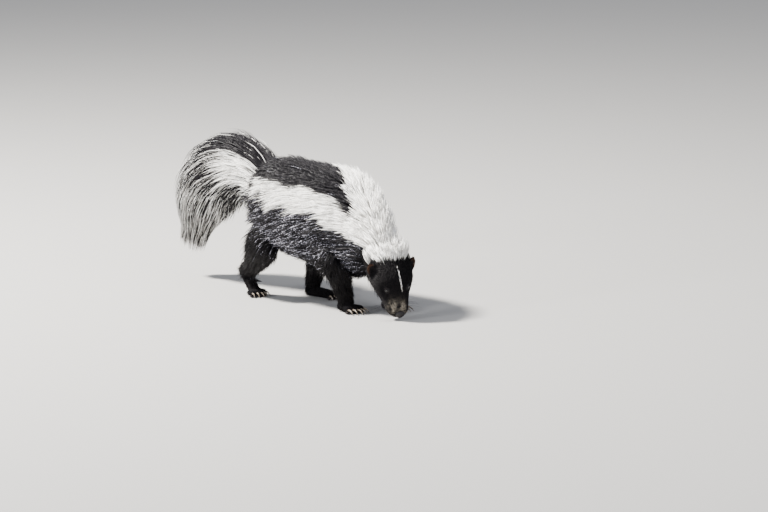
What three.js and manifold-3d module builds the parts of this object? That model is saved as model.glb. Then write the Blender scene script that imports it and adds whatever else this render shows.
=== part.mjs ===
// A striped skunk, life size, still, walking with its nose to the ground and its head turned to its right.
// Millimetres, +Z up. +X runs from the tail to the head, +Y is the animal's left, and the soles
// stand on z = 0.
// The surface is the outside of the coat. The animal is modelled whole and parted with thin cuts.
import * as THREE from "three";
import { mergeVertices } from "three/addons/utils/BufferGeometryUtils.js";
import Module from "manifold-3d";

const wasm = await Module();
wasm.setup();

// Driving dimensions
const GAP = 0.3;
const TO_MIDDLE = [60.5, 0, 0];
const V = (x, y, z) => new THREE.Vector3(x, y, z);

// The trunk from the tail's root to the back of the head: the line of the back, the line of the belly,
// how far it swings to the left, half its width, and which way it heads.
const TRUNK = [
  { name: "tail root", back: [-114, 184], belly: [-98, 122], left: 3, half: 30, yaw: 0 },
  { name: "rump", back: [-95, 201], belly: [-86, 84], left: 2, half: 50, yaw: 0 },
  { name: "hips", back: [-55, 209], belly: [-56, 66], left: 0, half: 62, yaw: 0 },
  { name: "loin", back: [-12, 207], belly: [-18, 60], left: 0, half: 66, yaw: 0 },
  { name: "ribs", back: [31, 204], belly: [18, 53], left: 0, half: 64, yaw: -4 },
  { name: "shoulders", back: [77, 198], belly: [44, 48], left: -2, half: 56, yaw: -8 },
  { name: "neck base", back: [127, 169], belly: [70, 45], left: -7.5, half: 43.5, yaw: -14 },
  { name: "neck", back: [154, 140], belly: [98, 52], left: -14, half: 35.5, yaw: -20 },
  { name: "nape", back: [172, 109], belly: [122, 64], left: -18, half: 33, yaw: -24 },
  { name: "head back", back: [179, 92], belly: [136, 62], left: -17, half: 32, yaw: -24 },
];

// The head in its own frame: x from the nape line to the nose, y to its left, z to its crown.
const HEAD = { nape: V(157.2, -16, 79.2), yaw: -13.6, pitch: -67.9, roll: 12.9 };
const SKULL = [
  { x: -12, top: 27, bottom: -30, half: 31 },
  { x: 2, top: 28, bottom: -31, half: 31.5 },
  { x: 15, top: 28, bottom: -30, half: 31 },
  { x: 28, top: 26.5, bottom: -28, half: 29.2 },
  { x: 39, top: 22.5, bottom: -26, half: 25.3 },
  { x: 49, top: 16.5, bottom: -23.5, half: 21.3 },
  { x: 58, top: 12.2, bottom: -20, half: 18.8 },
  { x: 66, top: 10, bottom: -16.5, half: 17.2 },
  { x: 73, top: 8.6, bottom: -12.5, half: 14.2 },
  { x: 78, top: 6.5, bottom: -8.5, half: 9.2 },
];
const MUZZLE_CAP = 1.5;
const EYE = { x: 41.1, y: 13.9, z: 11.7, radius: 4.3, long: 1.4, lid: 1.2, opening: [4.4, 4, 2.9] };
const EAR = { at: [11, 30, 9], facing: V(0.62, 0.42, 0.65), rising: V(-0.88, 0.1, 0.45),
  tall: 12.5, wide: 7.5, thick: 6, wall: 1.7 };
const MOUTH = { front: 78, back: 44, z: -8.2, slit: 1.2, depth: 2.2, chin: 70.5, lip: 0.9, lipHigh: 3.2 };
const NOSE = { x: 76, z: 2.2, half: 6.8, high: 5.4, long: 5.6, nostril: 1.7 };

// The tail: a curve, and the radius of its hair along it.
const TAIL_LINE = [V(-88, 2, 150), V(-112, 3, 163), V(-148, 8, 180), V(-190, 12, 181),
  V(-236, 15, 160), V(-268, 16, 120), V(-284, 16, 78)];
const TAIL_RADIUS = [24, 36, 46, 55, 58, 49, 24];
const TAIL_FLATTEN = 0.78;

// The long coat: how deep its core lies under the tips, and its locks, in rows from front to back.
const TRUNK_COAT = { core: 7, belly: 2.5, rows: 7, first: 0.91, last: 0.15, around: 7, lowest: -30,
  reach: 0.175, wide: 41, thick: 7, sunk: 14, tip: -0.5, fall: 9, seed: 11 };
const TAIL_COAT = { core: 0.46, rows: 5, first: 0.05, last: 0.66, around: 6, reach: 0.35,
  wide: 36, thick: 8, sunk: 0.3, tip: 1, fall: 6, seed: 5 };
const LOCK_WIDTH = [0.6, 1, 0.85, 0.35];

// Legs: joints from the body down, and the radius at each.
const LEGS = {
  front_right: {
    line: [V(60, -22, 118), V(63, -35, 82), V(75, -32, 48), V(82, -28, 20), V(86, -27, 9)],
    radius: [24, 24, 17, 11.5, 9], paw: { at: [87, -27], yaw: -8, kind: "front" },
    cut: { at: V(78, -30, 36), facing: V(0.2, 0, -1), radius: 22 },
    ankle: { at: V(83, -28, 18), facing: V(0.3, 0.1, -1), radius: 22 } },
  front_left: {
    line: [V(60, 22, 118), V(66, 34, 82), V(90, 31, 46), V(112, 28, 20), V(121, 27, 9)],
    radius: [24, 24, 16, 11, 8.5], paw: { at: [122, 27], yaw: -6, kind: "front" },
    cut: { at: V(95, 30, 37), facing: V(0.4, 0, -1), radius: 22 },
    ankle: { at: V(113, 28, 18), facing: V(0.6, 0, -1), radius: 22 } },
  hind_right: {
    line: [V(-58, -22, 120), V(-72, -36, 86), V(-96, -36, 54), V(-118, -34, 36), V(-118, -34, 27)],
    radius: [32, 31, 18, 11.5, 9], paw: { at: [-104, -33], yaw: -4, kind: "trailing" },
    cut: { at: V(-88, -39, 61), facing: V(-0.3, 0, -1), radius: 42 },
    ankle: { at: V(-121, -34, 33), facing: V(-0.12, 0, -1), radius: 24 } },
  hind_left: {
    line: [V(-52, 22, 120), V(-36, 36, 84), V(-39, 33, 48), V(-44, 30, 20), V(-40, 30, 9)],
    radius: [32, 30, 17.5, 11.5, 9], paw: { at: [-15, 30], yaw: 4, kind: "hind" },
    cut: { at: V(-38, 37, 57), facing: V(0, 0, -1), radius: 38 },
    ankle: { at: V(-43, 30, 19), facing: V(0.25, 0, -1), radius: 24 } },
};

// Feet in their own frame: x forward from the middle of the palm, toes and claws fanned out from it.
const PAWS = {
  front: { heel: -14, ball: 9, half: 11.5, high: 17, toe: 12, claw: 14, heelRise: 0 },
  hind: { heel: -36, ball: 9, half: 11, high: 16, toe: 11, claw: 8, heelRise: 0 },
  trailing: { heel: -18, ball: 5, half: 11, high: 15, toe: 11, claw: 8, heelRise: 26 },
};
const TOES = 5;
const TOE_RADIUS = 3.9;
const TOE_SPREAD = 10;
const CLAW_RADIUS = 1.8;

const FUR_BLACK = { color: 0x17161a, roughness: 0.75, metalness: 0 };
const FUR_WHITE = { color: 0xe9e6df, roughness: 0.8, metalness: 0 };
const EAR_BROWN = { color: 0x2b1c17, roughness: 0.8, metalness: 0 };
const NOSE_SKIN = { color: 0x1d1617, roughness: 0.45, metalness: 0 };
const EYE_DARK = { color: 0x0b0807, roughness: 0.08, metalness: 0 };

// Solids

// A closed geometry as a solid that can be joined and cut.
function solid(geometry) {
  const bare = new THREE.BufferGeometry();
  bare.setAttribute("position", geometry.getAttribute("position"));
  bare.setIndex(geometry.index);
  const merged = mergeVertices(bare, 1e-3);
  return new wasm.Manifold(new wasm.Mesh({
    numProp: 3,
    vertProperties: merged.attributes.position.array,
    triVerts: new Uint32Array(merged.index.array),
  }));
}

const join = (pieces) => pieces.reduce((whole, piece) => whole.add(piece));

// Only the largest closed surface of a solid, so that no loose scrap stays.
function largest(made) {
  return made.decompose().sort((a, b) => b.volume() - a.volume())[0];
}

function meshOf(name, made, look) {
  const { vertProperties, triVerts } = made.getMesh();
  const geometry = new THREE.BufferGeometry();
  geometry.setAttribute("position", new THREE.BufferAttribute(vertProperties, 3));
  geometry.setIndex(new THREE.BufferAttribute(triVerts, 1));
  geometry.translate(...TO_MIDDLE);
  geometry.computeVertexNormals();
  const mesh = new THREE.Mesh(geometry, new THREE.MeshStandardMaterial(look));
  mesh.name = name;
  return mesh;
}

// Smooth numbers between rows, spread evenly from 0 to 1.
function smooth(rows) {
  const shares = rows.map((_, i) => i / (rows.length - 1));
  const size = rows[0].length;
  const spline = new THREE.CubicInterpolant(shares, rows.flat(), size, new Float32Array(size));
  return (t) => Array.from(spline.evaluate(THREE.MathUtils.clamp(t, 0, 1)));
}

// A closed body through sections. section(t) gives its centre and its side, up and down arms, and the
// caps are how far the ends stand out. The rings are those of a sphere, whose poles close the two ends.
function sweep(section, sides, rings, caps = [0, 0], step = 2 * Math.PI / sides) {
  const geometry = new THREE.SphereGeometry(1, sides, rings + 1);
  const position = geometry.getAttribute("position");
  for (let i = 0; i < position.count; i++) {
    const row = Math.floor(i / (sides + 1));
    const t = THREE.MathUtils.clamp((row - 1) / (rings - 1), 0, 1);
    const angle = ((i % (sides + 1)) % sides) * step;
    const { centre, side, up, down = up } = section(t);
    const p = centre.clone();
    if (row === 0) p.addScaledVector(forwardOf(section, 0), -caps[0]);
    else if (row > rings) p.addScaledVector(forwardOf(section, 1), caps[1]);
    else {
      p.addScaledVector(side, -Math.cos(angle));
      p.addScaledVector(Math.sin(angle) > 0 ? up : down, Math.sin(angle));
    }
    position.setXYZ(i, p.x, p.y, p.z);
  }
  return geometry;
}

function forwardOf(section, t) {
  const { side, up } = section(t);
  return side.clone().cross(up).normalize();
}

// Sections of a round limb along a curve, with its side kept near a given direction.
function limb(points, radii, sideNear = V(0, 1, 0), flatten = 1) {
  const curve = new THREE.CatmullRomCurve3(points);
  const radius = smooth(radii.map((r) => [r]));
  return (t) => {
    const forward = curve.getTangent(t);
    const up = forward.clone().cross(sideNear).normalize();
    const side = up.clone().cross(forward).normalize();
    const [r] = radius(t);
    return { centre: curve.getPoint(t), side: side.multiplyScalar(r * flatten), up: up.multiplyScalar(r) };
  };
}

function ball(centre, x, y, z, sides = 16) {
  return new THREE.SphereGeometry(1, sides, Math.round(sides * 0.6)).scale(x, y, z).translate(...centre);
}

// The two largest pieces that a thin disc leaves: what lies behind it, and what its normal points to.
function partAt(whole, centre, facing, radius) {
  const normal = facing.clone().normalize();
  const disc = new THREE.CylinderGeometry(radius, radius, GAP, 48);
  const turn = new THREE.Quaternion().setFromUnitVectors(V(0, 1, 0), normal);
  disc.applyQuaternion(turn).translate(centre.x, centre.y, centre.z);
  const pieces = whole.subtract(solid(disc)).decompose()
    .sort((a, b) => b.volume() - a.volume()).slice(0, 2);
  const beyond = (piece) => {
    const { min, max } = piece.boundingBox();
    const middle = V(...min).add(V(...max)).multiplyScalar(0.5);
    return middle.sub(centre).dot(normal);
  };
  return pieces.sort((a, b) => beyond(a) - beyond(b));
}

// Trunk

const trunkRows = smooth(TRUNK.map((s) => [...s.back, ...s.belly, s.left, s.half, s.yaw]));

function trunkAt(t) {
  const [backX, backZ, bellyX, bellyZ, left, half, yaw] = trunkRows(t);
  const turn = THREE.MathUtils.degToRad(yaw);
  const lean = (backX - bellyX) / 2;
  return {
    centre: V((backX + bellyX) / 2, left, (backZ + bellyZ) / 2),
    side: V(-Math.sin(turn), Math.cos(turn), 0).multiplyScalar(half),
    up: V(lean * Math.cos(turn), lean * Math.sin(turn), (backZ - bellyZ) / 2),
  };
}

// A point of the trunk's coat: a share of its length, an angle up from its left side, and a depth.
function trunkCoat(t, degrees, depth) {
  const { centre, side, up } = trunkAt(t);
  const angle = THREE.MathUtils.degToRad(degrees);
  const out = side.clone().multiplyScalar(Math.cos(angle) / side.lengthSq())
    .addScaledVector(up, Math.sin(angle) / up.lengthSq())
    .normalize();
  return centre.addScaledVector(side, Math.cos(angle)).addScaledVector(up, Math.sin(angle))
    .addScaledVector(out, -depth);
}

// The trunk without its locks, which are all that covers it where they grow.
function trunkCore() {
  const section = (t) => {
    const { centre, side, up } = trunkAt(t);
    const lift = up.clone().setLength((TRUNK_COAT.belly - TRUNK_COAT.core) / 2);
    side.setLength(side.length() - TRUNK_COAT.core);
    up.setLength(up.length() - (TRUNK_COAT.belly + TRUNK_COAT.core) / 2);
    return { centre: centre.add(lift), side, up };
  };
  return solid(sweep(section, 18, 11, [14, 0]));
}

// Coat

// One flat lock that tapers and bends along a coat, its root sunk in and its tip at the coat's outline.
function lock(coat, { from, to, angle, fall, sunk, tip, wide, thick }) {
  const rise = (u) => THREE.MathUtils.lerp(sunk, tip, Math.sin(u * Math.PI / 2) ** 1.4);
  const line = (u) => coat(THREE.MathUtils.lerp(from, to, u), angle + fall * u * u, rise(u));
  const width = smooth(LOCK_WIDTH.map((w) => [w]));
  const section = (u) => {
    const t = THREE.MathUtils.lerp(from, to, u);
    const around = angle + fall * u * u;
    const along = line(Math.min(u + 0.05, 1)).sub(line(Math.max(u - 0.05, 0))).normalize();
    const out = coat(t, around, rise(u) - 1).sub(coat(t, around, rise(u)));
    const side = out.cross(along).normalize();
    const up = along.clone().cross(side);
    const [w] = width(u);
    return { centre: line(u), side: side.multiplyScalar(w * wide / 2), up: up.multiplyScalar(w * thick) };
  };
  return solid(sweep(section, 3, LOCK_WIDTH.length, [2, 7], Math.PI / 2));
}

const vary = (share) => 1 + share * (2 * THREE.MathUtils.seededRandom() - 1);

function trunkLocks() {
  const c = TRUNK_COAT;
  THREE.MathUtils.seededRandom(c.seed);
  const locks = [];
  const span = 180 - 2 * c.lowest;
  for (let row = 0; row < c.rows; row++) {
    const from = THREE.MathUtils.lerp(c.first, c.last, row / (c.rows - 1));
    const stagger = row % 2 ? 0.5 : 0;
    for (let i = 0; i + stagger < c.around; i++) {
      const angle = c.lowest + span * (i + stagger + 0.25 * (vary(1) - 1)) / (c.around - 1);
      if (angle > 180 - c.lowest + 2) continue;
      const aside = Math.sign(90 - angle);
      locks.push(lock(trunkCoat, {
        from: Math.min(from + 0.02 * (vary(1) - 1), 0.945), to: Math.max(from - c.reach * vary(0.15), 0),
        angle, fall: -aside * c.fall * vary(0.5),
        sunk: c.sunk, tip: c.tip, wide: c.wide * vary(0.14), thick: c.thick,
      }));
    }
  }
  return locks;
}

// Head

const headMatrix = new THREE.Matrix4()
  .makeTranslation(HEAD.nape)
  .multiply(new THREE.Matrix4().makeRotationZ(THREE.MathUtils.degToRad(HEAD.yaw)))
  .multiply(new THREE.Matrix4().makeRotationY(THREE.MathUtils.degToRad(-HEAD.pitch)))
  .multiply(new THREE.Matrix4().makeRotationX(THREE.MathUtils.degToRad(HEAD.roll)));
const onHead = (geometry) => solid(geometry.applyMatrix4(headMatrix));

const skullRows = smooth(SKULL.map((s) => [s.x, s.top, s.bottom, s.half]));

// The skull grown by some millimetres all round, or shrunk where grow is negative.
function skull(grow = 0) {
  const section = (t) => {
    const [x, top, bottom, half] = skullRows(t);
    const middle = (top + bottom) / 2;
    const high = (top - bottom) / 2 + grow;
    return { centre: V(x, 0, middle), side: V(0, half + grow, 0), up: V(0, 0, high) };
  };
  return onHead(sweep(section, 20, 14, [grow, MUZZLE_CAP + grow]));
}

// A thin slit round the muzzle, open to the outside and closed by what lies deeper than the lips.
function mouthSlit() {
  const long = MOUTH.front + 20 - MOUTH.back;
  const slab = new THREE.BoxGeometry(long, 60, MOUTH.slit).translate(MOUTH.back + long / 2, 0, MOUTH.z);
  return onHead(slab).subtract(skull(-MOUTH.depth));
}

// The lips: a low band round the muzzle, which the slit divides.
function lips() {
  const long = MOUTH.front - MOUTH.back - 6;
  const band = new THREE.BoxGeometry(long, 60, 2 * MOUTH.lipHigh)
    .translate(MOUTH.back + 6 + long / 2, 0, MOUTH.z);
  return skull(MOUTH.lip).intersect(onHead(band));
}

// What the chin leaves free behind the upper lip, sloping back from it.
function chinCut() {
  const block = new THREE.BoxGeometry(30, 60, 40).translate(15, 0, -20).rotateY(0.4);
  return onHead(block.translate(MOUTH.chin, 0, MOUTH.z));
}

function eyeCentre(side) {
  return [EYE.x, side * EYE.y, EYE.z];
}

const eyeball = (side, grow = 0) => {
  const r = EYE.radius + grow;
  return onHead(ball(eyeCentre(side), r, r, r, 11));
};

const nosePad = (grow = 0) =>
  onHead(ball([NOSE.x, 0, NOSE.z], NOSE.long + grow, NOSE.half + grow, NOSE.high + grow, 11));

function nostrils() {
  const pits = [1, -1].map((side) =>
    onHead(ball([NOSE.x + NOSE.long - 1, side * 3.1, NOSE.z + 0.5], 2.2, NOSE.nostril, 1.3, 8)));
  return join(pits);
}

// An ear: a rounded blade with its hollow turned forwards, up and out.
function ear(side) {
  const facing = EAR.facing.clone().multiply(V(1, side, 1)).normalize();
  const rising = EAR.rising.clone().multiply(V(1, side, 1)).projectOnPlane(facing).normalize();
  const turn = new THREE.Matrix4().makeBasis(facing, rising.clone().cross(facing), rising);
  const [x, y, z] = EAR.at;
  const place = (g) => onHead(g.applyMatrix4(turn).translate(x, side * y, z));
  const blade = new THREE.SphereGeometry(1, 11, 7).scale(EAR.thick, EAR.wide, EAR.tall);
  const cup = new THREE.SphereGeometry(1, 9, 5)
    .scale(EAR.thick, EAR.wide - EAR.wall, EAR.tall - EAR.wall)
    .translate(EAR.thick * 0.75, 0, 0);
  return largest(place(blade).subtract(place(cup)).subtract(skull(GAP)));
}

// Feet

// A foot with its toes and claws, standing at a point of the floor.
function paw({ at, yaw, kind }) {
  const size = PAWS[kind];
  const z = size.high / 2;
  const sole = limb(
    [V(size.heel, 0, z + size.heelRise), V((size.heel + size.ball) / 2, 0, z * 0.8 + size.heelRise * 0.42),
      V(size.ball, 0, z * 0.62)],
    [size.high * 0.52, size.high * 0.5, size.half * 0.62], V(0, 1, 0), 1.25);
  const pieces = [sweep(sole, 7, 3, [3, 3])];
  for (let i = 0; i < TOES; i++) {
    const off = i - (TOES - 1) / 2;
    const y = off * (size.half * 2 / TOES);
    const reach = size.ball + size.toe - Math.abs(off) * 2.2;
    const out = y + off * (TOE_SPREAD / TOES);
    const middle = V((size.ball + reach) / 2, (y + out) / 2, 5.2);
    const toe = limb([V(size.ball - 6, y, 5), middle, V(reach, out, 3.6)],
      [TOE_RADIUS, TOE_RADIUS, TOE_RADIUS * 0.7]);
    const tip = out + off * 0.8;
    const claw = limb([V(reach - 2, out, 5), V(reach + size.claw * 0.5, (out + tip) / 2, 5.4),
      V(reach + size.claw, tip, 1.1)], [CLAW_RADIUS, CLAW_RADIUS * 0.8, 0.45]);
    pieces.push(sweep(toe, 5, 2, [0, 1.5]), sweep(claw, 3, 2, [0, 0.6]));
  }
  const place = (g) => g.rotateZ(THREE.MathUtils.degToRad(yaw)).translate(at[0], at[1], 0);
  return join(pieces.map((g) => solid(place(g))));
}

const leg = ({ line, radius }) => solid(sweep(limb(line, radius), 12, 7, [16, 3]));

// Tail

const tailAt = limb(TAIL_LINE, TAIL_RADIUS, V(0, 1, 0), TAIL_FLATTEN);

// A point of the tail's coat: a share of its length, an angle round it and a share of its radius.
function tailCoat(t, degrees, share) {
  const { centre, side, up } = tailAt(Math.min(t, 1));
  const angle = THREE.MathUtils.degToRad(degrees);
  return centre.addScaledVector(side, share * Math.cos(angle)).addScaledVector(up, share * Math.sin(angle));
}

function tailCore() {
  const section = (t) => {
    const { centre, side, up } = tailAt(t * 0.86);
    const share = TAIL_COAT.core + 0.5 * Math.max(0, 0.12 - t) / 0.12;
    return { centre, side: side.multiplyScalar(share), up: up.multiplyScalar(share) };
  };
  return solid(sweep(section, 9, 7, [0, 14]));
}

function tailLocks() {
  const c = TAIL_COAT;
  THREE.MathUtils.seededRandom(c.seed);
  const locks = [];
  for (let row = 0; row < c.rows; row++) {
    const from = THREE.MathUtils.lerp(c.first, c.last, row / (c.rows - 1));
    for (let i = 0; i < c.around; i++) {
      const angle = 360 * (i + (row % 2) * 0.5 + 0.15 * (vary(1) - 1)) / c.around;
      locks.push(lock(tailCoat, {
        from, to: Math.min(from + c.reach * vary(0.12), 1 + 0.04 * (vary(1) - 1)),
        angle, fall: c.fall * (vary(1) - 1),
        sunk: c.sunk, tip: c.tip, wide: c.wide * vary(0.14), thick: c.thick,
      }));
    }
  }
  return locks;
}

// The whole animal, with the sockets of its eyes, its mouth and the seat of its nose, cut flat at the floor

function wholeAnimal() {
  const lidRadius = EYE.radius + EYE.lid;
  const lids = [1, -1].map((side) =>
    onHead(ball(eyeCentre(side), lidRadius * EYE.long, lidRadius, lidRadius, 11)));
  const sockets = [1, -1].map((side) => eyeball(side, GAP));
  const openings = [1, -1].map((side) => {
    const [x, y, z] = eyeCentre(side);
    return onHead(ball([x + 1.6, y + side * 3.7, z + 1.9], ...EYE.opening, 12));
  });
  const head = join([skull(), lips(), ...lids])
    .subtract(join([mouthSlit(), chinCut(), ...sockets, ...openings, nosePad(GAP)]));
  const legs = Object.values(LEGS).flatMap((each) => [leg(each), paw(each.paw)]);
  const floor = solid(new THREE.BoxGeometry(900, 400, 60).translate(0, 0, -30));
  return join([trunkCore(), ...trunkLocks(), head, tailCore(), ...tailLocks(), ...legs]).subtract(floor);
}

// Parting

// A cut across the trunk at a share of its length, turned to face along it.
function trunkCut(t, radius) {
  const { centre, side, up } = trunkAt(t);
  return [centre, side.clone().cross(up).normalize(), radius];
}

const nodes = {};
let rest = largest(wholeAnimal());

for (const [name, { cut, ankle }] of Object.entries(LEGS)) {
  [rest, nodes[name]] = partAt(rest, cut.at, cut.facing, cut.radius);
  [nodes[name + "_leg"], nodes[name + "_paw"]] = partAt(nodes[name], ankle.at, ankle.facing, ankle.radius);
}
[rest, nodes.head] = partAt(rest, ...trunkCut(0.955, 52));
[rest, nodes.neck] = partAt(rest, ...trunkCut(0.66, 120));
[rest, nodes.tail] = partAt(rest, V(-113, 3, 166), V(-0.88, 0.1, 0.47), 62);
[nodes.tail_base, nodes.tail_end] = partAt(nodes.tail, V(-186, 12, 170), V(-0.9, 0.05, -0.42), 80);

const animal = new THREE.Group();
const add = (name, made, look) => animal.add(meshOf(name, made, look));
add("head", nodes.head, FUR_BLACK);
add("neck", nodes.neck, FUR_WHITE);
add("torso", rest, FUR_BLACK);
add("tail_base", nodes.tail_base, FUR_BLACK);
add("tail_end", nodes.tail_end, FUR_BLACK);
for (const name of Object.keys(LEGS)) {
  add(name + "_leg", nodes[name + "_leg"], FUR_BLACK);
  add(name + "_paw", nodes[name + "_paw"], FUR_BLACK);
}
add("nose", nosePad().subtract(nostrils()), NOSE_SKIN);
for (const [word, side] of [["left", 1], ["right", -1]]) {
  add("eye_" + word, eyeball(side), EYE_DARK);
  add("ear_" + word, ear(side), EAR_BROWN);
}

export default animal;
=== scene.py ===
# The looks of a life-size striped skunk: one skin over its body, a coat of mesh tufts, eyes, nose and claws.
import math

import bmesh
import bpy
import numpy as np
from mathutils import Matrix, Vector, kdtree


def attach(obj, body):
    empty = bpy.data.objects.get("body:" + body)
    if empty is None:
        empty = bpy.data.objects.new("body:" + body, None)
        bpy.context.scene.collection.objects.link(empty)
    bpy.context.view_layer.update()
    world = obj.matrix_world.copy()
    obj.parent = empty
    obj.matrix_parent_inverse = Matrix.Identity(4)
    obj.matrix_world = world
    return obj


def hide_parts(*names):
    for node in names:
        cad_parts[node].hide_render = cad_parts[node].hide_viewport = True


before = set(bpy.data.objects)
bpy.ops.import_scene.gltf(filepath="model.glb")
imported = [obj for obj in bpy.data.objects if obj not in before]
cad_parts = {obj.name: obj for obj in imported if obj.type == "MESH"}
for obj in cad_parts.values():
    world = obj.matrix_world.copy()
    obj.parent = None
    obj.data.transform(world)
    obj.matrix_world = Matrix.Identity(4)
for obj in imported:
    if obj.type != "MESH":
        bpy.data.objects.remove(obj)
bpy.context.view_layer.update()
rng = np.random.default_rng(7)

# Named sizes, in millimetres in the animal's own place, as the part's source has them

MIDDLE = np.array([60.5, 0.0, 0.0])
# The line of the back, the line of the belly, how far to the left, half the width, and the heading.
TRUNK = np.array([
    [-114, 184, -98, 122, 3, 30, 0],
    [-95, 201, -86, 84, 2, 50, 0],
    [-55, 209, -56, 66, 0, 62, 0],
    [-12, 207, -18, 60, 0, 66, 0],
    [31, 204, 18, 53, 0, 64, -4],
    [77, 198, 44, 48, -2, 56, -8],
    [127, 169, 70, 45, -7.5, 43.5, -14],
    [154, 140, 98, 52, -14, 35.5, -20],
    [172, 109, 122, 64, -18, 33, -24],
    [179, 92, 136, 62, -17, 32, -24],
], float)
HEAD_AT = np.array([157.2, -16.0, 79.2])
HEAD_YAW, HEAD_PITCH, HEAD_ROLL = -13.6, -67.9, 12.9
# The skull: along the head, top, bottom and half width.
SKULL = np.array([
    [-12, 27, -30, 31],
    [2, 28, -31, 31.5],
    [15, 28, -30, 31],
    [28, 26.5, -28, 29.2],
    [39, 22.5, -26, 25.3],
    [49, 16.5, -23.5, 21.3],
    [58, 12.2, -20, 18.8],
    [66, 10, -16.5, 17.2],
    [73, 8.6, -12.5, 14.2],
    [78, 6.5, -8.5, 9.2],
], float)
SIDES = (("left", 1), ("right", -1))
EYE = {"at": (41.1, 13.9, 11.7), "radius": 4.3, "look": (0.42, 0.76, 0.60)}
EAR = {"at": (11, 30, 9), "facing": (0.62, 0.42, 0.65), "rising": (-0.88, 0.1, 0.45),
       "tall": 12.5, "wide": 7.5, "thick": 6, "wall": 1.8}
MOUTH = {"front": 78, "back": 44, "z": -8.2}
NOSE = {"at": (76, 0, 2.2), "half": 6.8, "high": 5.4, "long": 5.6}
TAIL = np.array([[-88, 2, 150], [-112, 3, 163], [-148, 8, 180], [-190, 12, 181],
                 [-236, 15, 160], [-268, 16, 120], [-284, 16, 78]], float)
TAIL_RADIUS = np.array([24, 36, 46, 55, 58, 49, 24], float)
TAIL_FLATTEN = 0.78
# Each leg: its joints, the coat's radius at each, where its foot stands, which way it points, and its kind.
LEGS = {
    "front_right": ([[60, -22, 118], [63, -35, 82], [75, -32, 48], [82, -28, 20], [86, -27, 9]],
                    [24, 24, 17, 11.5, 9], (87, -27), -8, "front"),
    "front_left": ([[60, 22, 118], [66, 34, 82], [90, 31, 46], [112, 28, 20], [121, 27, 9]],
                   [24, 24, 16, 11, 8.5], (122, 27), -6, "front"),
    "hind_right": ([[-58, -22, 120], [-72, -36, 86], [-96, -36, 54], [-118, -34, 36], [-118, -34, 27]],
                   [32, 31, 18, 11.5, 9], (-104, -33), -4, "trailing"),
    "hind_left": ([[-52, 22, 120], [-36, 36, 84], [-39, 33, 48], [-44, 30, 20], [-40, 30, 9]],
                  [32, 30, 17.5, 11.5, 9], (-15, 30), 4, "hind"),
}
LEG_COAT = [12, 11, 7, 4, 2.4]
PAWS = {
    "front": {"heel": -14, "ball": 9, "half": 11.5, "high": 17, "toe": 12, "claw": 14, "rise": 0},
    "hind": {"heel": -36, "ball": 9, "half": 11, "high": 16, "toe": 11, "claw": 8, "rise": 0},
    "trailing": {"heel": -18, "ball": 5, "half": 11, "high": 15, "toe": 11, "claw": 8, "rise": 26},
}
TOES = 5
TOE_RADIUS = 3.9
TOE_SPREAD = 10
CLAW_RADIUS = [1.5, 1.35, 0.95, 0.3]
CLAW_FLATTEN = 0.7
TRUNK_DEPTH, BELLY_DEPTH = 12.5, 5.0
TAIL_CORE = 0.34
TAIL_LENGTH = 240.0
# How many tufts lie on the body and on the tail, how many pieces the tail's are in, and the most triangles of
# one piece of the body's coat.
BODY_TUFTS = 88000
TAIL_TUFTS = 19500
TAIL_PIECES = 3
PIECE_TRIANGLES = 190000
# How many triangles a tuft of each number of stations has, and what share of the tufts are long guard hairs.
TUFT_TRIANGLES = {2: 10, 3: 16}
GUARD_SHARE = 0.10
# The grain of the skin, in metres, and how often it is smoothed.
VOXEL = 0.0016
SMOOTHINGS = 9


# Small helpers

def unit(v):
    return v / np.maximum(np.linalg.norm(v, axis=-1, keepdims=True), 1e-9)


def columns(*parts):
    return np.stack(parts, -1)


def mix(one, other, share):
    return one + (other - one) * share


def dots(a, b):
    return np.einsum("ij,ij->i", a, b)


def along_skin(way, n):
    """A direction without what stands off the skin."""
    return way - n * dots(way, n)[:, None]


def spline(rows, t):
    """Smooth rows at shares t of their length."""
    rows = np.asarray(rows, float)
    padded = np.vstack([2 * rows[0] - rows[1], rows, 2 * rows[-1] - rows[-2]])
    x = np.clip(t, 0, 1) * (len(rows) - 1)
    i = np.clip(np.floor(x).astype(int), 0, len(rows) - 2)
    f = (x - i)[..., None]
    a, b, c, d = padded[i], padded[i + 1], padded[i + 2], padded[i + 3]
    return (b + 0.5 * f * (c - a) + f ** 2 * (a - 2.5 * b + 2 * c - 0.5 * d)
            + f ** 3 * (-0.5 * a + 1.5 * b - 1.5 * c + 0.5 * d))


def step(x, low, high):
    s = np.clip((x - low) / (high - low), 0, 1)
    return s * s * (3 - 2 * s)


WAVES = np.random.default_rng(4).normal(size=(6, 4))


def drift(p, scale, shift=0.0):
    """A smooth random field between about -1 and 1, over distances of the scale in millimetres."""
    total = 0
    for k, wave in enumerate(WAVES):
        turns = (p @ unit(wave[:3])) * 2 * np.pi / (scale * (0.7 + 0.25 * k))
        total = total + np.sin(turns + wave[3] * 5 + shift + k)
    return total / 3.0


def mirrored(v, side):
    """A place or direction of the left side, or its mirror image where side is -1."""
    return np.array(v) * [1, side, 1]


def turn_z(p, degrees):
    c, s = math.cos(math.radians(degrees)), math.sin(math.radians(degrees))
    x, y, z = p[..., 0], p[..., 1], p[..., 2]
    return columns(x * c - y * s, x * s + y * c, z)


def rotation(axis, degrees):
    c, s = math.cos(math.radians(degrees)), math.sin(math.radians(degrees))
    if axis == "x":
        return np.array([[1, 0, 0], [0, c, -s], [0, s, c]])
    if axis == "y":
        return np.array([[c, 0, s], [0, 1, 0], [-s, 0, c]])
    return np.array([[c, -s, 0], [s, c, 0], [0, 0, 1]])


HEAD = rotation("z", HEAD_YAW) @ rotation("y", -HEAD_PITCH) @ rotation("x", HEAD_ROLL)


def from_head(p):
    return np.asarray(p, float) @ HEAD.T + HEAD_AT


def to_head(p):
    return (p - HEAD_AT) @ HEAD


# Sections: each gives a centre, a side arm and an up arm at shares t

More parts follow.
